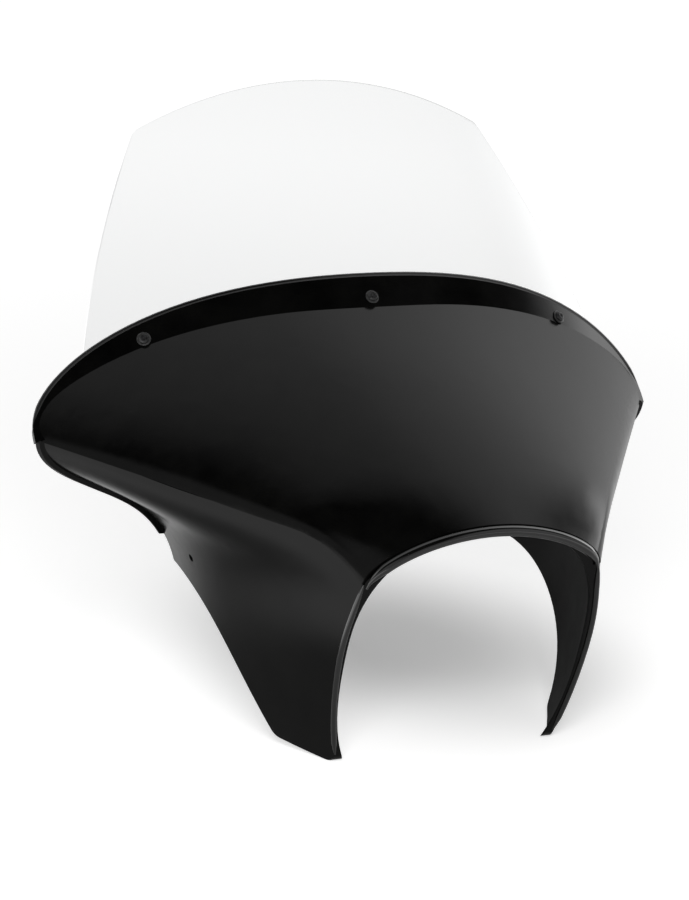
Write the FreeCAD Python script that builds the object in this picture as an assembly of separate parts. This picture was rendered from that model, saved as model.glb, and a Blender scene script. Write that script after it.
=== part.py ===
import FreeCAD, Part
import math
import os

os.makedirs("parts", exist_ok=True)
Vector = FreeCAD.Vector

# Frame: X across the fairing, its front faces -Y, Z is up.
# The origin is the centre of the headlight arch, in the plane of the arch's front edge.

# Moulded shell, one skin drawn over a hood with two wing panels below its crease
skin = 3.2
arch_half_width = 111.0
tip_half_width = 301.0
hood_front = -23.0
hood_rear = 231.0
crease_front_height = 97.0
crease_rear_height = 139.0
corner_drop = 33.0
corner_reach = 13.5
crown_front_height = 121.0
crown_rear_height = 260.0
crown_bulge = 7.0
front_powers = (2.0, 2.0)
rear_powers = (2.25, 1.3)
hood_stations = (-0.07, 0.02, 0.12, 0.28, 0.55, 0.8)

# Wing panels, which narrow down to the legs beside the headlight
crease_ledge = 1.0
wing_overlap = 14.0
wing_hollow = 0.185
shoulder_share = (0.05, 0.13)
wing_stations = (-0.03, 0.15, 0.4, 0.7)
leg_spread = 10.8
leg_widest_height = 4.0
leg_barrel = 0.0016
leg_sweep = 0.567
leg_sweep_curve = 0.0016
leg_top_height = 15.0
leg_mid_height = -40.0
foot_height = -102.0
foot_rear_rise = 10.0
foot_rear_offset = 79.0
foot_radius = 9.0
leg_arc_offset = 128.5
leg_arc_height = -20.0
notch_height = 22.0

# Turned edges: round the arch, and along each wing's rear edge down to a square end
arch_lean = 14.2
mouth_half_width = 115.5
mouth_rise = 109.5
mouth_drop = 152.0
mouth_power = 2.5
tip_flange = 4.0
tip_flange_end = 48.0

# Hole in each wing for the fork mounting
wing_hole_diameter = 7.0
wing_hole_height = 41.0
wing_hole_setback = 56.0

# Lip along the hood's rear edge, a band on the leaning cylinder that the screen follows
lip_bow = 90.02
lip_lean = 39.0
lip_setback = 20.6
lip_drop = 4.4
lip_tip_width = 3.5
lip_top = 23.5
lip_end = -75.0
lip_tail = 4.0
lip_power = 3.0

# Windscreen, cut from clear sheet
screen_thickness = 3.0
screen_top = 220.0
screen_corner_half_width = 172.0
screen_corner_height = 187.0
screen_waist_half_width = 213.0
screen_waist_height = 103.0
screen_foot_half_width = 258.0
screen_foot_height = -28.0
screen_foot_rise = 6.0
screen_corner_radius = 9.0

# Screen fasteners: button-head screw, washer, rubber pad between lip and screen, washer, nut
screw_inset = 94.5
side_screw_height = -11.0
screw_diameter = 5.0
hole_clearance = 0.5
head_diameter = 9.5
head_height = 2.75
head_chamfer = 1.6
socket_width = 3.0
socket_depth = 1.6
washer_diameter = 12.5
washer_thickness = 1.0
pad_thickness = 1.5
nut_width = 8.0
nut_height = 5.0
thread_end = 2.0
seat_gap = 0.1

# How far a cutting shape runs past what it cuts, the step a slope is taken over,
# and the points in half a curved section
margin = 30.0
slope_step = 1.0
curve_points = 8

hood_length = hood_rear - hood_front
lip_half_width = tip_half_width + lip_tip_width
screw_half_span = tip_half_width - screw_inset
lip_radius = (lip_half_width ** 2 + lip_bow ** 2) / (2 * lip_bow)
arch_slope = math.tan(math.radians(arch_lean))
up_screen = Vector(0, math.sin(math.radians(lip_lean)), math.cos(math.radians(lip_lean)))
out_screen = Vector(0, -up_screen.z, up_screen.y)
lip_centre = Vector(0, hood_rear - lip_setback, crown_rear_height - lip_drop)
lip_axis = lip_centre - out_screen * lip_radius


def blend(front, rear, y):
    return front + (rear - front) * (y - hood_front) / hood_length


def half_width(y):
    return blend(arch_half_width, tip_half_width, y)


def crease_height(y):
    dip = 2 * corner_drop / (1 + math.exp((y - hood_front) / corner_reach))
    return blend(crease_front_height, crease_rear_height, y) - dip


def crown_height(y):
    along = (y - hood_front) / hood_length
    return blend(crown_front_height, crown_rear_height, y) + 4 * crown_bulge * along * (1 - along)


def chord_shares(rows):
    shares = []
    for row in rows:
        steps = [a.distanceToPoint(b) for a, b in zip(row, row[1:])]
        shares.append([sum(steps[:i]) / sum(steps) for i in range(len(row))])
    return [sum(column) / len(rows) for column in zip(*shares)]


def spline(points, shares):
    curve = Part.BSplineCurve()
    curve.interpolate(Points=points, Parameters=shares)
    return curve


def signed_power(value, power):
    return math.copysign(abs(value) ** power, value)


def arch_angles():
    return [math.pi * i / (2 * curve_points) for i in range(1, 2 * curve_points)]


def hood_row(y, inset):
    width = half_width(y) - inset
    base = crease_height(y) + inset
    rise = crown_height(y) - inset - base
    across = 2 / blend(front_powers[0], rear_powers[0], y)
    upward = 2 / blend(front_powers[1], rear_powers[1], y)
    points = [Vector(width, y, base)]
    for angle in arch_angles():
        x = width * signed_power(math.cos(angle), across)
        points.append(Vector(x, y, base + rise * math.sin(angle) ** upward))
    return points + [Vector(-width, y, base)]


def hood_solid(inset):
    stations = [hood_front + s * hood_length for s in hood_stations] + [hood_rear + margin]
    rows = [hood_row(y, inset) for y in stations]
    shares = chord_shares(rows)
    sections = [(spline(row, shares).toShape(), Part.makeLine(row[-1], row[0])) for row in rows]
    return Part.makeLoft([Part.Wire(section) for section in sections], True, False)


def leg_half_width(y, z):
    edge = arch_half_width + leg_spread - leg_barrel * (z - leg_widest_height) ** 2
    depth = y + z * arch_slope
    return edge + leg_sweep * depth - leg_sweep_curve * depth ** 2


def wing_outline(y):
    width = half_width(y)
    top = crease_height(y)
    low = leg_half_width(y, leg_top_height)
    bottom = foot_height - margin
    panel = width - low
    height = top - leg_top_height
    outline = [
        (width - crease_ledge, top),
        (width - crease_ledge - shoulder_share[0] * panel, top - shoulder_share[1] * height),
        ((width + low) / 2 - wing_hollow * panel, leg_top_height + height / 2),
        (low, leg_top_height),
        (leg_half_width(y, leg_mid_height), leg_mid_height),
        (leg_half_width(y, bottom), bottom),
    ]
    return [Vector(x, y, z) for x, z in outline]


def wing_side(y, inset):
    points = wing_outline(y)
    moved = []
    for i, behind in enumerate(wing_outline(y + slope_step)):
        tangent = (points[min(i + 1, len(points) - 1)] - points[max(i - 1, 0)]).normalize()
        inward = Vector(tangent.z, 0, -tangent.x)
        slope = inward.dot(behind - points[i]) / slope_step
        moved.append(points[i] + inward * (inset * math.hypot(1, slope)))
    return moved


def wing_section(right, shares):
    side = spline(right, shares).toShape()
    left = [Vector(-p.x, p.y, p.z) for p in right]
    top = right[0] + Vector(-wing_overlap, 0, wing_overlap)
    corners = [left[0], Vector(-top.x, top.y, top.z), top, right[0]]
    roof = [Part.makeLine(a, b) for a, b in zip(corners, corners[1:])]
    floor = Part.makeLine(right[-1], left[-1])
    return Part.Wire([side, floor, mirrored(side), *roof])


def wing_solid(inset, rear):
    stations = [hood_front + s * hood_length for s in wing_stations] + [rear]
    rows = [wing_side(y, inset) for y in stations]
    shares = chord_shares(rows)
    return Part.makeLoft([wing_section(row, shares) for row in rows], True, False)


def bowl(inset, rear):
    sweep = (tip_half_width - arch_half_width) / hood_length
    return hood_solid(inset * math.hypot(1, sweep)).fuse(wing_solid(inset, rear))


def mouth_prism():
    bend = 2 / mouth_power
    reach = arch_slope * mouth_drop + margin
    points = []
    for i in range(4 * curve_points):
        angle = math.pi * (i / (2 * curve_points) - 0.5)
        height = mouth_rise if math.sin(angle) > 0 else mouth_drop
        x = mouth_half_width * signed_power(math.cos(angle), bend)
        points.append(Vector(x, -reach, height * signed_power(math.sin(angle), bend)))
    curve = Part.BSplineCurve()
    curve.interpolate(Points=points, PeriodicFlag=True)
    return Part.Face(Part.Wire(curve.toShape())).extrude(Vector(0, 2 * reach, 0))


def behind_arch(offset):
    size = 4 * lip_half_width
    box = Part.makeBox(size, size, size, Vector(-size / 2, offset, -size / 2))
    box.rotate(Vector(0, 0, 0), Vector(1, 0, 0), arch_lean)
    return box


def side_outline():
    top = lip_centre.z + 2 * margin
    back = hood_rear + 2 * margin
    toe = Vector(0, -arch_slope * foot_height, foot_height)
    heel = Vector(0, foot_rear_offset, foot_height + foot_rear_rise)
    middle = Vector(0, leg_arc_offset, leg_arc_height)
    notch = Vector(0, hood_rear, notch_height)
    rear = [Vector(0, back, notch_height), Vector(0, back, top)]
    corners = [notch, *rear, Vector(0, -arch_slope * top, top), toe, heel]
    edges = [Part.makeLine(a, b) for a, b in zip(corners, corners[1:])]
    edges.append(Part.Arc(heel, middle, notch).toShape())
    prism = Part.Face(Part.Wire(edges)).extrude(Vector(2 * (lip_half_width + margin), 0, 0))
    prism.translate(Vector(-lip_half_width - margin, 0, 0))
    across = [e for e in prism.Edges if e.BoundBox.XLength > lip_half_width]
    return prism.makeFillet(foot_radius, [e for e in across if e.BoundBox.ZMax < leg_mid_height])


def on_screen(x, t, n):
    return lip_centre + Vector(x, 0, 0) + up_screen * t + out_screen * n


def screen_drum(radius, low):
    length = screen_top + margin - low
    return Part.makeCylinder(radius, length, lip_axis + up_screen * low, up_screen)


def screen_sheet(front_radius, thickness, prism):
    low = lip_end - margin
    sheet = screen_drum(front_radius, low).cut(screen_drum(front_radius - thickness, low))
    return sheet.common(prism)


def lip_prism():
    depth = -lip_bow - margin
    points = [on_screen(lip_half_width, lip_end, depth)]
    for angle in arch_angles():
        x = lip_half_width * signed_power(math.cos(angle), 2 / lip_power)
        points.append(on_screen(x, lip_end + (lip_top - lip_end) * math.sin(angle), depth))
    points.append(on_screen(-lip_half_width, lip_end, depth))
    top = spline(points, chord_shares([points])).toShape()
    foot = [on_screen(side * lip_half_width, lip_end - lip_tail, depth) for side in (-1, 1)]
    corners = [points[-1], *foot, points[0]]
    outline = Part.Wire([top, *[Part.makeLine(a, b) for a, b in zip(corners, corners[1:])]])
    return Part.Face(outline).extrude(out_screen * (lip_bow + 4 * margin))


def outside_lip():
    width = lip_half_width + 2 * margin
    depth = -lip_bow - margin
    corners = [(-width, lip_end), (width, lip_end), (width, screen_top), (-width, screen_top)]
    corners = [on_screen(x, t, depth) for x, t in corners]
    face = Part.Face(Part.makePolygon(corners + corners[:1]))
    return face.extrude(out_screen * (lip_bow + 4 * margin)).cut(lip_prism())


def tip_flange_band():
    height = crease_rear_height - tip_flange_end
    corner = Vector(-lip_half_width, hood_rear - skin, tip_flange_end)
    slab = Part.makeBox(2 * lip_half_width, skin, height, corner)
    return wing_solid(-tip_flange, hood_rear).common(slab)


def wing_x(y, z):
    row = wing_side(y, 0)
    level = Part.LineSegment(Vector(0, y, z), Vector(2 * tip_half_width, y, z))
    return spline(row, chord_shares([row])).intersect(level)[0].X


def wing_hole():
    y = hood_rear - wing_hole_setback
    z = wing_hole_height
    x = wing_x(y, z)
    rearward = (wing_x(y + slope_step, z) - x) / slope_step
    upward = (wing_x(y, z + slope_step) - x) / slope_step
    return Vector(x, y, z), Vector(1, -rearward, -upward).normalize()


def mirrored(shape):
    return shape.mirror(Vector(0, 0, 0), Vector(1, 0, 0))


def at_screws(shape):
    copies = []
    for x, t in ((-screw_half_span, side_screw_height), (0, 0), (screw_half_span, side_screw_height)):
        angle = math.asin(x / lip_radius)
        normal = Vector(math.sin(angle), 0, 0) + out_screen * math.cos(angle)
        seat = lip_axis + up_screen * t + normal * lip_radius
        copy = shape.copy()
        copy.Placement = FreeCAD.Placement(seat, FreeCAD.Rotation(Vector(0, 0, 1), normal))
        copies.append(copy)
    return Part.Compound(copies)


def ring(diameter, bore, bottom, height):
    base = Vector(0, 0, bottom)
    return Part.makeCylinder(diameter / 2, height, base).cut(Part.makeCylinder(bore / 2, height, base))


def hexagon(width, bottom, height):
    corner = Vector(width / math.sqrt(3), 0, bottom)
    corners = [FreeCAD.Rotation(Vector(0, 0, 1), 60 * i).multVec(corner) for i in range(7)]
    return Part.Face(Part.makePolygon(corners)).extrude(Vector(0, 0, height))


def make_shell(screw_bore):
    cavity = bowl(skin, hood_rear + margin)
    shell = bowl(0, hood_rear).fuse(tip_flange_band())
    shell = shell.cut(cavity.common(behind_arch(skin))).cut(mouth_prism()).common(side_outline())
    shell = shell.cut(screen_drum(lip_radius - skin, lip_end - skin)).cut(outside_lip())
    shell = shell.fuse(screen_sheet(lip_radius, skin, lip_prism()).cut(cavity))
    centre, normal = wing_hole()
    drill = Part.makeCylinder(wing_hole_diameter / 2, 2 * margin, centre - normal * margin, normal)
    return shell.cut(drill).cut(mirrored(drill)).cut(at_screws(screw_bore))


def make_screen(screw_bore):
    depth = -lip_bow - margin
    top = on_screen(0, screen_top, depth)
    bottom = on_screen(0, screen_foot_height + screen_foot_rise, depth)
    sides = []
    for side in (-1, 1):
        corner = on_screen(side * screen_corner_half_width, screen_corner_height, depth)
        waist = on_screen(side * screen_waist_half_width, screen_waist_height, depth)
        foot = on_screen(side * screen_foot_half_width, screen_foot_height, depth)
        sides.append((corner, waist, foot))
    left, right = sides
    arcs = [(left[0], top, right[0]), right, (right[2], bottom, left[2]), (left[2], left[1], left[0])]
    outline = Part.Wire([Part.Arc(*points).toShape() for points in arcs])
    prism = Part.Face(outline).extrude(out_screen * (lip_bow + 2 * margin))
    upright = [e for e in prism.Edges if e.Curve.TypeId == "Part::GeomLine"]
    prism = prism.makeFillet(screen_corner_radius, upright)
    sheet = screen_sheet(lip_radius - skin - pad_thickness, screen_thickness, prism)
    return sheet.cut(at_screws(screw_bore))


def build():
    hole = screw_diameter + hole_clearance
    screw_bore = Part.makeCylinder(hole / 2, 2 * margin, Vector(0, 0, -margin))
    head_seat = washer_thickness + 2 * seat_gap
    screen_back = -skin - pad_thickness - screen_thickness
    washer_back = screen_back - seat_gap - washer_thickness
    nut_back = washer_back - seat_gap - nut_height
    screw_tip = nut_back - thread_end
    pad_height = pad_thickness - 2 * seat_gap
    head_top = head_seat + head_height
    head = Part.makeCylinder(head_diameter / 2, head_height, Vector(0, 0, head_seat))
    head = head.makeChamfer(head_chamfer, [e for e in head.Edges if e.BoundBox.ZMin > head_seat])
    shank = Part.makeCylinder(screw_diameter / 2, head_seat - screw_tip, Vector(0, 0, screw_tip))
    screw = head.fuse(shank).cut(hexagon(socket_width, head_top - socket_depth, socket_depth))
    nut_bore = Part.makeCylinder(screw_diameter / 2 + seat_gap, nut_height, Vector(0, 0, nut_back))
    return {
        "fairing_shell": make_shell(screw_bore),
        "windscreen": make_screen(screw_bore),
        "screen_screws": at_screws(screw),
        "head_washers": at_screws(ring(washer_diameter, hole, seat_gap, washer_thickness)),
        "rubber_pads": at_screws(ring(washer_diameter, hole, -skin - seat_gap - pad_height, pad_height)),
        "nut_washers": at_screws(ring(washer_diameter, hole, washer_back, washer_thickness)),
        "lock_nuts": at_screws(hexagon(nut_width, nut_back, nut_height).cut(nut_bore)),
    }


for name, shape in build().items():
    shape.exportStep("parts/" + name + ".step")
    print(name, shape.isValid(), len(shape.Solids), round(shape.Volume))
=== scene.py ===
import math

import bpy
from mathutils import Matrix, Vector


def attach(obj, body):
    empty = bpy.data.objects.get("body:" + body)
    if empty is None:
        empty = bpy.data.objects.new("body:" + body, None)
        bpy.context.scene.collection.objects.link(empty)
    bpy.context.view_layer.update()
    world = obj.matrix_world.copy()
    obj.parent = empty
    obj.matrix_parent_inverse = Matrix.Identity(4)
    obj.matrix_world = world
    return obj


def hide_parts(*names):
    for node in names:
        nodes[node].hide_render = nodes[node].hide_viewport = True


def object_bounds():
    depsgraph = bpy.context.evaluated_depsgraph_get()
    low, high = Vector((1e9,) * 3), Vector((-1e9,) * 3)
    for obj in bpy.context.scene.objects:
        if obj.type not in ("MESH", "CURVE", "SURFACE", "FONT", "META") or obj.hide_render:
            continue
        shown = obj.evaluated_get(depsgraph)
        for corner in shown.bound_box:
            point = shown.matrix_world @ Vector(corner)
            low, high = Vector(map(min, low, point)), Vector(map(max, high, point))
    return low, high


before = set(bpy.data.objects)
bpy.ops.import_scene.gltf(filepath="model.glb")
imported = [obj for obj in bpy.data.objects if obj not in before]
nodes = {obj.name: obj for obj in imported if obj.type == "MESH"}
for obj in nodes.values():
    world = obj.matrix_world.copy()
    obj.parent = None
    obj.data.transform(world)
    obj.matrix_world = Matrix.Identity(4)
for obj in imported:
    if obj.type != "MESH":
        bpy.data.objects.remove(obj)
cadLow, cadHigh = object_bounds()
mergeDistance = 0.00002


def deselectAll():
    if bpy.context.object and bpy.context.object.mode != "OBJECT":
        bpy.ops.object.mode_set(mode="OBJECT")
    bpy.ops.object.select_all(action="DESELECT")


def makeActive(piece):
    deselectAll()
    piece.select_set(True)
    bpy.context.view_layer.objects.active = piece


def copyOfNode(nodeName, pieceName):  # own mesh, merged, so that shading runs across the facets
    piece = bpy.data.objects.new(pieceName, nodes[nodeName].data.copy())
    bpy.context.scene.collection.objects.link(piece)
    makeActive(piece)
    bpy.ops.mesh.customdata_custom_splitnormals_clear()
    bpy.ops.object.mode_set(mode="EDIT")
    bpy.ops.mesh.select_all(action="SELECT")
    bpy.ops.mesh.remove_doubles(threshold=mergeDistance)
    bpy.ops.object.mode_set(mode="OBJECT")
    return piece


def smoothShade(angle):
    bpy.ops.object.shade_smooth_by_angle(angle=math.radians(angle), keep_sharp_edges=True)


def selectEdges(piece, wanted):  # wanted(edge ends, faces beside it); ends in edit mode
    bpy.ops.object.mode_set(mode="EDIT")
    bpy.ops.mesh.select_mode(type="EDGE")
    bpy.ops.mesh.select_all(action="DESELECT")
    bpy.ops.object.mode_set(mode="OBJECT")
    mesh = piece.data
    beside = {}
    for face in mesh.polygons:
        for key in face.edge_keys:
            beside.setdefault(key, []).append(face)
    count = 0
    for edge in mesh.edges:
        ends = [mesh.vertices[i].co for i in edge.vertices]
        edge.select = bool(wanted(ends, beside.get(edge.key, [])))
        count += edge.select
    print(piece.name, "edges", count)
    bpy.ops.object.mode_set(mode="EDIT")


def handOver(piece, slotName, material, *nodeNames):
    piece.data.materials.clear()
    piece.data.materials.append(material)
    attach(piece, "root")
    if nodeNames:
        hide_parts(*nodeNames)


def mapRange(tree, source, low, high, newLow, newHigh):
    node = tree.nodes.new("ShaderNodeMapRange")
    tree.links.new(source, node.inputs["Value"])
    for label, value in (("From Min", low), ("From Max", high), ("To Min", newLow), ("To Max", newHigh)):
        node.inputs[label].default_value = value
    return node.outputs["Result"]


def smoothRange(tree, source, low, high, newLow, newHigh):
    result = mapRange(tree, source, low, high, newLow, newHigh)
    result.node.interpolation_type = "SMOOTHSTEP"
    return result


def setOrLink(tree, socket, value):
    if isinstance(value, (int, float)):
        socket.default_value = value
    else:
        tree.links.new(value, socket)


def mathNode(tree, operation, first, second):
    node = tree.nodes.new("ShaderNodeMath")
    node.operation = operation
    setOrLink(tree, node.inputs[0], first)
    setOrLink(tree, node.inputs[1], second)
    return node.outputs[0]


def blendValues(tree, factor, first, second):
    node = tree.nodes.new("ShaderNodeMix")
    tree.links.new(factor, node.inputs[0])
    setOrLink(tree, node.inputs[2], first)
    setOrLink(tree, node.inputs[3], second)
    return node.outputs[0]


def mixColours(tree, factor, first, second):
    node = tree.nodes.new("ShaderNodeMix")
    node.data_type = "RGBA"
    tree.links.new(factor, node.inputs[0])
    node.inputs[6].default_value = (*first, 1.0)
    node.inputs[7].default_value = (*second, 1.0)
    return node.outputs[2]


def noiseNode(tree, coordinates, scale, detail, roughness=0.5):
    node = tree.nodes.new("ShaderNodeTexNoise")
    node.inputs["Detail"].default_value = detail
    node.inputs["Roughness"].default_value = roughness
    setOrLink(tree, node.inputs["Scale"], scale)
    tree.links.new(coordinates, node.inputs["Vector"])
    return node.outputs[0]


def newGroup(name, inputs, outputs):
    tree = bpy.data.node_groups.new(name, "ShaderNodeTree")
    for label, value in inputs.items():
        socket = tree.interface.new_socket(name=label, in_out="INPUT", socket_type="NodeSocketFloat")
        socket.default_value = value
    for label in outputs:
        tree.interface.new_socket(name=label, in_out="OUTPUT", socket_type="NodeSocketFloat")
    return tree, tree.nodes.new("NodeGroupInput"), tree.nodes.new("NodeGroupOutput")


skinValues = {"peelDetail": 2.0, "waveDetail": 1.0, "hazeDetail": 4.0, "hazeRoughness": 0.65, "hazeRange": (0.35, 0.7)}


def makeSkinGroup():  # slow waves, fine peel and a haze of handling marks in a moulded or cast skin
    tree, start, end = newGroup(
        "skinRelief", {"Peel Scale": 600.0, "Wave Scale": 18.0, "Wave Share": 0.5, "Haze Scale": 40.0},
        ["Height", "Haze"])
    place = tree.nodes.new("ShaderNodeTexCoord").outputs["Object"]
    peel = noiseNode(tree, place, start.outputs["Peel Scale"], skinValues["peelDetail"])
    wave = noiseNode(tree, place, start.outputs["Wave Scale"], skinValues["waveDetail"])
    weighted = mathNode(tree, "MULTIPLY", wave, start.outputs["Wave Share"])
    tree.links.new(mathNode(tree, "ADD", peel, weighted), end.inputs["Height"])
    broad = noiseNode(tree, place, start.outputs["Haze Scale"], skinValues["hazeDetail"], skinValues["hazeRoughness"])
    tree.links.new(mapRange(tree, broad, *skinValues["hazeRange"], 0.0, 1.0), end.inputs["Haze"])
    return tree


wearValues = {"stretch": (1.0, 9.0, 6.0), "turn": (0.4, 0.2, 0.5), "markDetail": 3.0, "markRoughness": 0.7,
              "markRange": (0.6, 0.72), "patchScale": 14.0, "patchDetail": 2.0, "patchRange": (0.5, 0.68)}


def makeWearGroup():  # fine rubbed marks along one direction, kept to patches
    tree, start, end = newGroup("rubMarks", {"Scale": 120.0, "Amount": 0.5}, ["Mask"])
    place = tree.nodes.new("ShaderNodeTexCoord").outputs["Object"]
    stretch = tree.nodes.new("ShaderNodeMapping")
    stretch.inputs["Scale"].default_value = wearValues["stretch"]
    stretch.inputs["Rotation"].default_value = wearValues["turn"]
    tree.links.new(place, stretch.inputs["Vector"])
    marks = noiseNode(tree, stretch.outputs["Vector"], start.outputs["Scale"],
                      wearValues["markDetail"], wearValues["markRoughness"])
    patches = noiseNode(tree, place, wearValues["patchScale"], wearValues["patchDetail"])
    thin = mapRange(tree, marks, *wearValues["markRange"], 0.0, 1.0)
    where = mapRange(tree, patches, *wearValues["patchRange"], 0.0, 1.0)
    mask = mathNode(tree, "MULTIPLY", mathNode(tree, "MULTIPLY", thin, where), start.outputs["Amount"])
    tree.links.new(mask, end.inputs["Mask"])
    return tree


skinGroup = makeSkinGroup()
wearGroup = makeWearGroup()


def useGroup(tree, group, values):
    node = tree.nodes.new("ShaderNodeGroup")
    node.node_tree = group
    for label, value in values.items():
        node.inputs[label].default_value = value
    return node


def newFinish(name):
    material = bpy.data.materials.new(name)
    material.use_nodes = True
    return material, material.node_tree, material.node_tree.nodes["Principled BSDF"]


def startFinish(name, values):  # relief, haze and roughness, which all the pieces' finishes have
    material, tree, shader = newFinish(name)
    skin = useGroup(tree, skinGroup, values["skin"])
    rub = useGroup(tree, wearGroup, values["rub"])
    haze = mathNode(tree, "ADD", skin.outputs["Haze"], rub.outputs["Mask"])
    tree.links.new(mapRange(tree, haze, 0.0, values["hazeTop"], *values["roughness"]), shader.inputs["Roughness"])
    bump = tree.nodes.new("ShaderNodeBump")
    bump.inputs["Distance"].default_value, bump.inputs["Strength"].default_value = values["bump"]
    tree.links.new(skin.outputs["Height"], bump.inputs["Height"])
    tree.links.new(bump.outputs["Normal"], shader.inputs["Normal"])
    for label, value in values["sockets"].items():
        shader.inputs[label].default_value = value
    return material, tree, shader, haze


def makeOpaque(name, values):
    material, tree, shader, haze = startFinish(name, values)
    tree.links.new(mixColours(tree, haze, values["colour"], values["worn"]), shader.inputs["Base Color"])
    return material


shellFinish = {"colour": (0.0008, 0.0008, 0.0008), "worn": (0.0024, 0.0024, 0.0022),
               "roughness": (0.13, 0.20), "hazeTop": 1.3, "bump": (0.00003, 0.5),
               "skin": {"Peel Scale": 420.0, "Wave Scale": 16.0, "Wave Share": 0.6, "Haze Scale": 22.0},
               "rub": {"Scale": 90.0, "Amount": 0.35}, "sockets": {"IOR": 1.45, "Specular IOR Level": 0.27}}
rollSockets = {"IOR": 1.45, "Specular IOR Level": 0.5, "Coat Weight": 1.0, "Coat Roughness": 0.08}
innerFinish = {"colour": (0.0012, 0.0012, 0.0012), "worn": (0.003, 0.003, 0.0029),
               "roughness": (0.5, 0.65), "hazeTop": 1.5, "bump": (0.00008, 0.7),
               "skin": {"Peel Scale": 900.0, "Wave Scale": 30.0, "Wave Share": 0.5, "Haze Scale": 18.0},
               "rub": {"Scale": 70.0, "Amount": 0.6}, "sockets": {"IOR": 1.45, "Specular IOR Level": 0.12}}
screenFinish = {"tint": (0.905, 0.91, 0.91), "edgeTint": (0.78, 0.785, 0.785), "slant": (0.35, 0.95), "blend": 0.5,
                "roughness": (0.015, 0.05), "hazeTop": 1.6, "bump": (0.00003, 0.3),
                "skin": {"Peel Scale": 60.0, "Wave Scale": 7.0, "Wave Share": 2.0, "Haze Scale": 30.0},
                "rub": {"Scale": 160.0, "Amount": 0.6}, "sockets": {"Transmission Weight": 1.0, "IOR": 1.49}}


def makeScreenMaterial():
    material, tree, shader, _ = startFinish("clearAcrylicSheet", screenFinish)
    slope = tree.nodes.new("ShaderNodeLayerWeight")
    slope.inputs["Blend"].default_value = screenFinish["blend"]
    slant = mapRange(tree, slope.outputs["Facing"], *screenFinish["slant"], 0.0, 1.0)
    tint = mixColours(tree, slant, screenFinish["tint"], screenFinish["edgeTint"])
    tree.links.new(tint, shader.inputs["Base Color"])
    return material


hardwareFinish = {"wave": 300.0, "waveShare": 0.4, "haze": 400.0, "hazeTop": 1.4, "bumpStrength": 0.6,
                  "rub": {"Scale": 900.0, "Amount": 0.8}}


def makeHardware(name, colour, worn, metallic, roughness, peel, bump):
    skin = {"Peel Scale": peel, "Wave Scale": hardwareFinish["wave"], "Wave Share": hardwareFinish["waveShare"],
            "Haze Scale": hardwareFinish["haze"]}
    return makeOpaque(name, {"colour": colour, "worn": worn, "roughness": roughness, "skin": skin,
                             "hazeTop": hardwareFinish["hazeTop"], "rub": hardwareFinish["rub"],
                             "bump": (bump, hardwareFinish["bumpStrength"]), "sockets": {"Metallic": metallic}})


shellMaterial = makeOpaque("glossBlackMoulding", shellFinish)
rollMaterial = makeOpaque("polishedRolledEdge", {**shellFinish, "sockets": rollSockets})
innerMaterial = makeOpaque("mattInnerSkin", innerFinish)
screenMaterial = makeScreenMaterial()
screwMaterial = makeHardware("blackedScrewSteel", colour=(0.004, 0.004, 0.004), worn=(0.03, 0.03, 0.031),
                             metallic=0.2, roughness=(0.25, 0.4), peel=2500.0, bump=0.00003)
washerMaterial = makeHardware("blackWasher", colour=(0.012, 0.012, 0.012), worn=(0.05, 0.05, 0.05),
                              metallic=0.0, roughness=(0.35, 0.55), peel=1800.0, bump=0.00003)
padMaterial = makeHardware("softRubber", colour=(0.010, 0.010, 0.010), worn=(0.03, 0.03, 0.029),
                           metallic=0.0, roughness=(0.65, 0.85), peel=1400.0, bump=0.00006)
nutMaterial = makeHardware("platedNutSteel", colour=(0.50, 0.50, 0.49), worn=(0.36, 0.35, 0.33),
                           metallic=1.0, roughness=(0.22, 0.42), peel=2200.0, bump=0.00002)
print("finishes made")


shellPiece = {"smoothAngle": 32.0, "hollowFront": -0.023, "hollowHeight": 0.06, "hollowRise": 0.295,
              "archLean": 14.2, "planeGap": 0.00005, "flatDot": 0.9995, "archMiddle": -0.02}
archLean = math.radians(shellPiece["archLean"])
archFront = Vector((0, -math.cos(archLean), -math.sin(archLean)))


def inArchPlane(point):
    return abs(point.dot(archFront)) < shellPiece["planeGap"]


def isArchOutline(ends, faces):  # outer border of the flat flange round the headlight arch
    if len(faces) != 2 or not all(inArchPlane(end) for end in ends):
        return False
    flat = [abs(face.normal.dot(archFront)) > shellPiece["flatDot"] for face in faces]
    if flat[0] == flat[1]:
        return False
    skin = faces[flat.index(False)].normal
    middle = (ends[0] + ends[1]) / 2
    return skin.x * middle.x + skin.z * (middle.z - shellPiece["archMiddle"]) > 0


rollPiece = {"thickness": 0.0024, "lean": 39.0, "centre": (0, 0.2104, 0.2556), "radius": 0.55998, "top": 0.0235,
             "end": -0.075, "halfWidth": 0.3045, "power": 2.4, "sunk": 0.0014, "tipHeight": 0.1415, "tipRun": 0.022,
             "tipShare": 0.1, "faceGap": 0.00015, "edgeGap": 0.0001, "edgeDot": 0.75, "topRoom": 0.006,
             "endRoom": 0.001}
lipLean = math.radians(rollPiece["lean"])
lipUp = Vector((0, math.sin(lipLean), math.cos(lipLean)))
lipOut = Vector((0, -lipUp.z, lipUp.y))


def onLip(point):  # height up the leaning lip, and distance in front of its face
    offset = point - Vector(rollPiece["centre"]) + lipOut * rollPiece["radius"]
    height = offset.dot(lipUp)
    return height, (offset - lipUp * height).length - rollPiece["radius"]


def lipHeight(x):
    share = min(abs(x) / rollPiece["halfWidth"], 1.0) ** rollPiece["power"]
    rise = (rollPiece["top"] - rollPiece["end"]) * (1.0 - share) ** (1.0 / rollPiece["power"])
    return rollPiece["end"] + rise


fairingShell = copyOfNode("fairing_shell", "fairingShell")


def onLipFace(face):
    corners = [fairingShell.data.vertices[i].co for i in face.vertices]
    return all(abs(onLip(corner)[1]) < rollPiece["faceGap"] for corner in corners)


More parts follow.
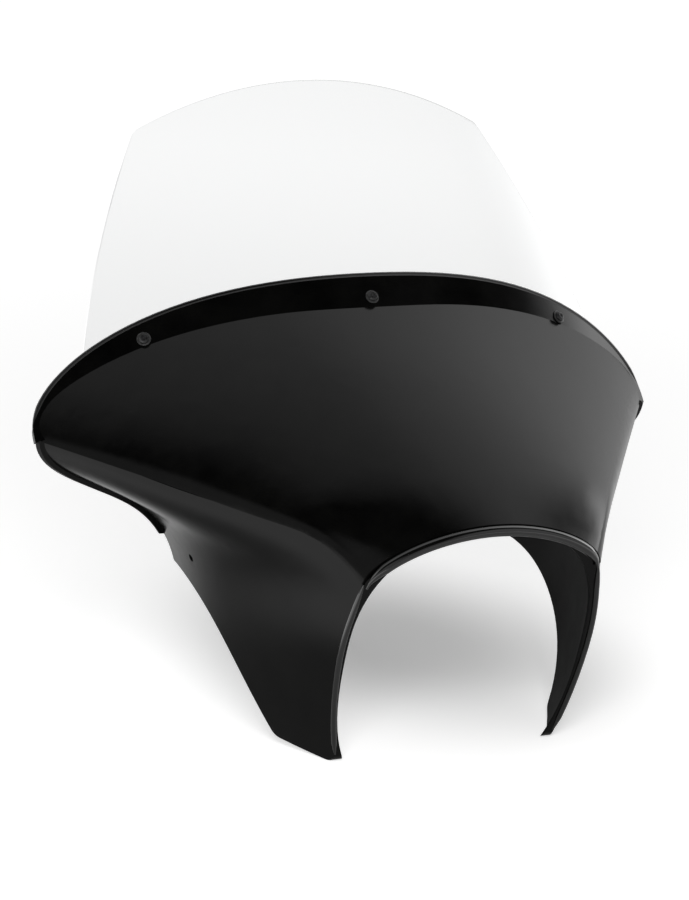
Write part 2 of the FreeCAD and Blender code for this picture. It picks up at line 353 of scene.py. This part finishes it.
def isLipFoot(ends, faces):  # where the lip stands up from the hood
    return len(faces) == 2 and onLipFace(faces[0]) != onLipFace(faces[1])


selectEdges(fairingShell, isLipFoot)
bpy.ops.mesh.mark_sharp()
bpy.ops.object.mode_set(mode="OBJECT")
smoothShade(shellPiece["smoothAngle"])
handOver(fairingShell, "shell", shellMaterial, "fairing_shell")
fairingShell.data.materials.append(innerMaterial)
for face in fairingShell.data.polygons:  # the unpolished side looks back at the middle of the hollow
    rise = shellPiece["hollowRise"] * (face.center.y - shellPiece["hollowFront"])
    above = face.center.z - shellPiece["hollowHeight"] - rise
    outward = face.normal.x * face.center.x + face.normal.z * above
    face.material_index = int(outward < 0 and not inArchPlane(face.center))
print("shell", len(fairingShell.data.polygons))


# rolled edges: round the arch, down the front of each leg, and along the top of the lip
rimPiece = {"thickness": 0.0046, "inward": (0.966, 1.0, 0.966), "middle": (0, 0, -0.02), "endHeight": 0.0705,
            "forward": 0.0026, "fadeRun": 0.014, "endShare": 0.25}
legPiece = {"thickness": 0.0026, "inward": (0.990, 1.0, 0.990), "footHeight": -0.094, "footRoom": 0.0008,
            "crownRoom": 0.001, "endShare": 0.3}
tubePiece = {"resolution": 5, "smoothAngle": 50.0}


def taper(room, run, least):  # share of the thickness, this far from an end
    return min(1.0, least + (1.0 - least) * max(0.0, room) / run)


def isHoodArch(ends, faces):
    return min(end.z for end in ends) > rimPiece["endHeight"] and isArchOutline(ends, faces)


def rimShare(height):
    return taper(height - rimPiece["endHeight"], rimPiece["fadeRun"], rimPiece["endShare"])


def isLegFront(ends, faces):
    upper = max(end.z for end in ends)
    if upper > rimPiece["endHeight"] + legPiece["crownRoom"] or upper < legPiece["footHeight"] + legPiece["footRoom"]:
        return False
    return isArchOutline(ends, faces)


def legShare(height):
    room = min(rimPiece["endHeight"] - height, height - legPiece["footHeight"])
    return taper(room, rimPiece["fadeRun"], legPiece["endShare"])


def isLipTop(ends, faces):
    if len(faces) != 2 or faces[0].normal.dot(faces[1].normal) > rollPiece["edgeDot"]:
        return False
    for end in ends:
        height, front = onLip(end)
        lowest = max(lipHeight(end.x) - rollPiece["topRoom"], rollPiece["end"] + rollPiece["endRoom"])
        if abs(front) > rollPiece["edgeGap"] or height < lowest:
            return False
    return True


def rollShare(height):
    return taper(height - rollPiece["tipHeight"], rollPiece["tipRun"], rollPiece["tipShare"])


def tubeAlong(pieceName, wanted, thickness, share, resize=(1, 1, 1), move=(0, 0, 0)):
    path = copyOfNode("fairing_shell", pieceName)
    selectEdges(path, wanted)
    bpy.ops.mesh.select_all(action="INVERT")
    bpy.ops.mesh.delete(type="EDGE")
    bpy.ops.mesh.select_all(action="SELECT")
    bpy.ops.transform.resize(value=resize, center_override=rimPiece["middle"])
    bpy.ops.transform.translate(value=move)
    bpy.ops.object.mode_set(mode="OBJECT")
    bpy.ops.object.convert(target="CURVE")
    for spline in path.data.splines:
        for point in spline.points:
            point.radius = share(point.co.z)
    path.data.bevel_depth = thickness
    path.data.bevel_resolution = tubePiece["resolution"]
    path.data.use_fill_caps = True
    bpy.ops.object.convert(target="MESH")
    smoothShade(tubePiece["smoothAngle"])
    handOver(path, "shell", rollMaterial)
    print(pieceName, len(path.data.polygons))


tubeAlong("archRim", isHoodArch, rimPiece["thickness"], rimShare, resize=rimPiece["inward"],
          move=archFront * rimPiece["forward"])
tubeAlong("legRims", isLegFront, legPiece["thickness"], legShare, resize=legPiece["inward"])
tubeAlong("lipRoll", isLipTop, rollPiece["thickness"], rollShare, move=(lipUp + lipOut) * -rollPiece["sunk"])


edgePieces = {
    "screen_screws": {"name": "screenScrews", "slot": "screw", "finish": screwMaterial, "width": 0.0004, "segments": 3},
    "head_washers": {"name": "headWashers", "slot": "washer", "finish": washerMaterial, "width": 0.0002, "segments": 2},
    "rubber_pads": {"name": "rubberPads", "slot": "pad", "finish": padMaterial, "width": 0.0003, "segments": 2},
    "nut_washers": {"name": "nutWashers", "slot": "washer", "finish": washerMaterial, "width": 0.0002, "segments": 2},
    "lock_nuts": {"name": "lockNuts", "slot": "nut", "finish": nutMaterial, "width": 0.0004, "segments": 3},
}
edgeAngles = {"merge": 1.0, "round": 25.0, "smooth": 40.0}


def softenEdges(nodeName, values):
    piece = copyOfNode(nodeName, values["name"])
    bpy.ops.object.mode_set(mode="EDIT")
    bpy.ops.mesh.dissolve_limited(angle_limit=math.radians(edgeAngles["merge"]))
    bpy.ops.object.mode_set(mode="OBJECT")
    bevel = piece.modifiers.new("edgeRound", "BEVEL")
    bevel.limit_method = "ANGLE"
    bevel.angle_limit = math.radians(edgeAngles["round"])
    bevel.width = values["width"]
    bevel.segments = values["segments"]
    bevel.use_clamp_overlap = False
    bpy.ops.object.modifier_apply(modifier=bevel.name)
    smoothShade(edgeAngles["smooth"])
    handOver(piece, values["slot"], values["finish"], nodeName)
    print(values["name"], len(piece.data.polygons))


for nodeName, values in edgePieces.items():
    softenEdges(nodeName, values)

clearScreen = copyOfNode("windscreen", "clearScreen")
smoothShade(edgeAngles["smooth"])
handOver(clearScreen, "screen", screenMaterial, "windscreen")
print("clearScreen", len(clearScreen.data.polygons))


# the shade keys place a painted shadow on the floor in the hollow under and behind the hood
floorPiece = {"size": 16.0, "drop": 0.0002, "colour": (0.75, 0.75, 0.747), "grain": (30.0, 3.0),
              "grainRange": (0.3, 0.7), "roughness": (0.85, 0.95), "nearGlow": (0.63, 0.64), "nearReach": (0.3, 0.8),
              "farGlow": 0.26, "farReach": (0.7, 3.0), "shadeCentre": (0.1, 0.30), "shadeSize": (0.26, 0.36),
              "shadeEdge": (0.15, 1.0), "shadeShare": 0.34, "mirroredShadeShare": 0.75,
              "leftEdge": (-0.55, -0.28), "leftGlow": 1.0, "rightEdge": (0.3, 0.7), "rightGlow": 0.6,
              "backEdge": (0.25, 0.5), "backSide": (-0.05, 0.1), "backGlow": 0.3}


def lengthNode(tree, vector):
    node = tree.nodes.new("ShaderNodeVectorMath")
    node.operation = "LENGTH"
    tree.links.new(vector, node.inputs[0])
    return node.outputs["Value"]


def splitVector(tree, vector):
    node = tree.nodes.new("ShaderNodeSeparateXYZ")
    tree.links.new(vector, node.inputs[0])
    return node.outputs


def floorGlow(tree, place, height):  # what the camera sees: a pale sweep, with a painted shadow darkening it in the hollow under the hood
    reach = lengthNode(tree, place)
    near = smoothRange(tree, reach, *floorPiece["nearReach"], *floorPiece["nearGlow"])
    far = smoothRange(tree, reach, *floorPiece["farReach"], 0.0, floorPiece["farGlow"])
    # painted shadow: the glow falls to the shade share inside an oval under and behind the hood
    shade = tree.nodes.new("ShaderNodeMapping")
    shade.vector_type = "TEXTURE"
    shade.inputs["Location"].default_value = (*floorPiece["shadeCentre"], height)
    shade.inputs["Scale"].default_value = (*floorPiece["shadeSize"], 1.0)
    tree.links.new(place, shade.inputs["Vector"])
    fromShade = lengthNode(tree, shade.outputs["Vector"])
    paintedShadowFactor = smoothRange(tree, fromShade, *floorPiece["shadeEdge"], floorPiece["shadeShare"], 1.0)
    return mathNode(tree, "MULTIPLY", paintedShadowFactor, mathNode(tree, "ADD", near, far))


def floorMirrored(tree, place):  # what the gloss mirrors: panels of light at the left, the right and the back
    x, y, _ = splitVector(tree, place)
    left = smoothRange(tree, x, *floorPiece["leftEdge"], floorPiece["leftGlow"], 0.0)
    right = smoothRange(tree, x, *floorPiece["rightEdge"], 0.0, floorPiece["rightGlow"])
    back = mathNode(tree, "MULTIPLY", smoothRange(tree, y, *floorPiece["backEdge"], 0.0, floorPiece["backGlow"]),
                    smoothRange(tree, x, *floorPiece["backSide"], 1.0, 0.0))
    return mathNode(tree, "ADD", mathNode(tree, "MAXIMUM", left, right), back)


def makeFloor():
    deselectAll()
    bpy.ops.mesh.primitive_plane_add(size=floorPiece["size"], location=(0, 0, cadLow[2] - floorPiece["drop"]))
    floor = bpy.context.object
    floor.name = "studioFloor"
    bpy.ops.object.transform_apply(location=True, rotation=True, scale=True)
    material, tree, shader = newFinish("paleFloor")
    place = tree.nodes.new("ShaderNodeTexCoord").outputs["Object"]
    grain = noiseNode(tree, place, *floorPiece["grain"])
    roughness = mapRange(tree, grain, *floorPiece["grainRange"], *floorPiece["roughness"])
    tree.links.new(roughness, shader.inputs["Roughness"])
    shader.inputs["Specular IOR Level"].default_value = 0.0
    shader.inputs["Emission Color"].default_value = (1, 1, 1, 1)
    path = tree.nodes.new("ShaderNodeLightPath")
    through = path.outputs["Is Transmission Ray"]
    seen = mathNode(tree, "MAXIMUM", path.outputs["Is Camera Ray"], through)
    gloss = mathNode(tree, "MULTIPLY", path.outputs["Is Glossy Ray"], mathNode(tree, "SUBTRACT", 1.0, through))
    glow = mathNode(tree, "MULTIPLY", seen, floorGlow(tree, place, floor.data.vertices[0].co.z))
    mirrored = mathNode(tree, "MULTIPLY", gloss, floorMirrored(tree, place))
    tree.links.new(mathNode(tree, "ADD", glow, mirrored), shader.inputs["Emission Strength"])
    # painted shade: for glossy rays the floor colour is scaled down by the mirrored share, so the gloss mirrors a
    # darker floor
    mirroredFloorShade = blendValues(tree, gloss, 1.0, floorPiece["mirroredShadeShare"])
    tree.links.new(mixColours(tree, mirroredFloorShade, (0, 0, 0), floorPiece["colour"]), shader.inputs["Base Color"])
    floor.data.materials.append(material)


studio = {"worldLight": 0.18, "frontEdge": (-0.20, 0.18), "frontTurn": 0.5, "turnFrom": 0.15,
          "rightEdge": (0.2, 0.75), "leftLevel": 0.64, "rightLift": 0.66, "deepEdge": (0.1, 0.4), "backLift": 0.17,
          "hotEdge": (0.82, 0.95), "hotFade": (0.12, 0.4), "hotLift": 1.7, "farEdge": (0.28, 0.6), "farShare": 0.42,
          "leastLight": 0.015, "lowEdge": (0.3, 0.5), "lowLight": 0.4,
          "sideBoxes": [((0.62, -0.68, 0.40), (0.86, 0.97), 0.5), ((-0.48, -0.77, 0.42), (0.90, 0.98), 0.4),
                        ((-0.87, 0.28, 0.40), (0.93, 0.985), 1.5)]}


def mirroredWorld(tree, direction):  # dark in front, with a wall of light behind and to the right
    x, y, z = splitVector(tree, direction)
    toRight = mathNode(tree, "MULTIPLY", mathNode(tree, "MAXIMUM", x, 0.0), studio["frontTurn"])
    turn = mathNode(tree, "MULTIPLY", toRight, mathNode(tree, "SUBTRACT", y, studio["turnFrom"]))
    turned = mathNode(tree, "ADD", y, turn)  # the edge of the light is harder on the right than on the left
    behind = smoothRange(tree, turned, *studio["frontEdge"], 0.0, 1.0)
    brightest = studio["leftLevel"] + studio["rightLift"]
    right = smoothRange(tree, x, *studio["rightEdge"], studio["leftLevel"], brightest)
    deep = smoothRange(tree, y, *studio["deepEdge"], 0.0, studio["backLift"])
    far = smoothRange(tree, y, *studio["farEdge"], 1.0, studio["farShare"])
    hot = mathNode(tree, "MULTIPLY", smoothRange(tree, x, *studio["hotEdge"], 0.0, studio["hotLift"]),
                   smoothRange(tree, y, *studio["hotFade"], 1.0, 0.0))
    wall = mathNode(tree, "ADD", mathNode(tree, "ADD", right, deep), hot)
    wall = mathNode(tree, "MULTIPLY", mathNode(tree, "MULTIPLY", wall, far), behind)
    low = smoothRange(tree, z, *studio["lowEdge"], studio["lowLight"], studio["leastLight"])
    mirrored = mathNode(tree, "MAXIMUM", wall, low)
    for toward, edge, light in studio["sideBoxes"]:  # small softboxes that mostly the side views mirror
        nearness = tree.nodes.new("ShaderNodeVectorMath")
        nearness.operation = "DOT_PRODUCT"
        tree.links.new(direction, nearness.inputs[0])
        nearness.inputs[1].default_value = toward
        box = smoothRange(tree, nearness.outputs["Value"], *edge, 0.0, light)
        mirrored = mathNode(tree, "MAXIMUM", mirrored, box)
    return mirrored


def makeWorld():  # white to the camera and through the screen, even on matt surfaces
    world = bpy.data.worlds.new("studioWorld")
    bpy.context.scene.world = world
    world.use_nodes = True
    tree = world.node_tree
    direction = tree.nodes.new("ShaderNodeTexCoord").outputs["Generated"]
    path = tree.nodes.new("ShaderNodeLightPath")
    mirrored = mirroredWorld(tree, direction)
    level = blendValues(tree, path.outputs["Is Glossy Ray"], studio["worldLight"], mirrored)
    seen = mathNode(tree, "MAXIMUM", path.outputs["Is Camera Ray"], path.outputs["Is Transmission Ray"])
    ground = tree.nodes["Background"]
    ground.inputs["Color"].default_value = (1, 1, 1, 1)
    tree.links.new(blendValues(tree, seen, level, 1.0), ground.inputs["Strength"])


lampSet = [
    {"name": "keySoftbox", "place": (-0.94, -1.53, 1.18), "aim": (0, 0.1, 0.05), "size": (1.0, 1.0), "watts": 36.0},
    {"name": "topSoftbox", "place": (0.2, 0.3, 1.9), "aim": (0, 0.1, 0.1), "size": (1.6, 1.6), "watts": 7.0},
]


def makeLamp(lamp):
    deselectAll()
    bpy.ops.object.light_add(type="AREA", location=lamp["place"])
    made = bpy.context.object
    made.name = lamp["name"]
    made.data.shape = "RECTANGLE"
    made.data.size, made.data.size_y = lamp["size"]
    made.data.energy = lamp["watts"]
    made.visible_glossy = False  # the gloss mirrors the world and the floor alone
    made.visible_transmission = False
    toward = Vector(lamp["aim"]) - Vector(lamp["place"])
    made.rotation_euler = toward.to_track_quat("-Z", "Y").to_euler()


view = {"azimuth": -28.0, "elevation": 15.0, "roll": 3.776, "distance": 3.0, "sideways": -0.110485,
        "upward": 0.170824, "lens": 142.6066, "centre": (0, -0.016, 0), "reach": 50.0}


def makeCamera():
    turn, rise, roll = (math.radians(view[key]) for key in ("azimuth", "elevation", "roll"))
    back = Vector((math.sin(turn) * math.cos(rise), -math.cos(turn) * math.cos(rise), math.sin(rise)))
    level = Vector((math.cos(turn), math.sin(turn), 0))
    upright = back.cross(level)
    right = level * math.cos(roll) + upright * math.sin(roll)
    up = upright * math.cos(roll) - level * math.sin(roll)
    place = Vector(view["centre"]) + back * view["distance"] + right * view["sideways"] + up * view["upward"]
    deselectAll()
    bpy.ops.object.camera_add(location=place)
    camera = bpy.context.object
    camera.matrix_world = Matrix.Translation(place) @ Matrix((right, up, back)).transposed().to_4x4()
    camera.data.lens = view["lens"]
    camera.data.clip_end = view["reach"]
    bpy.context.scene.camera = camera


makeFloor()
makeWorld()
for lamp in lampSet:
    makeLamp(lamp)
makeCamera()
bpy.context.scene.view_settings.view_transform = "Standard"
print("studio set")
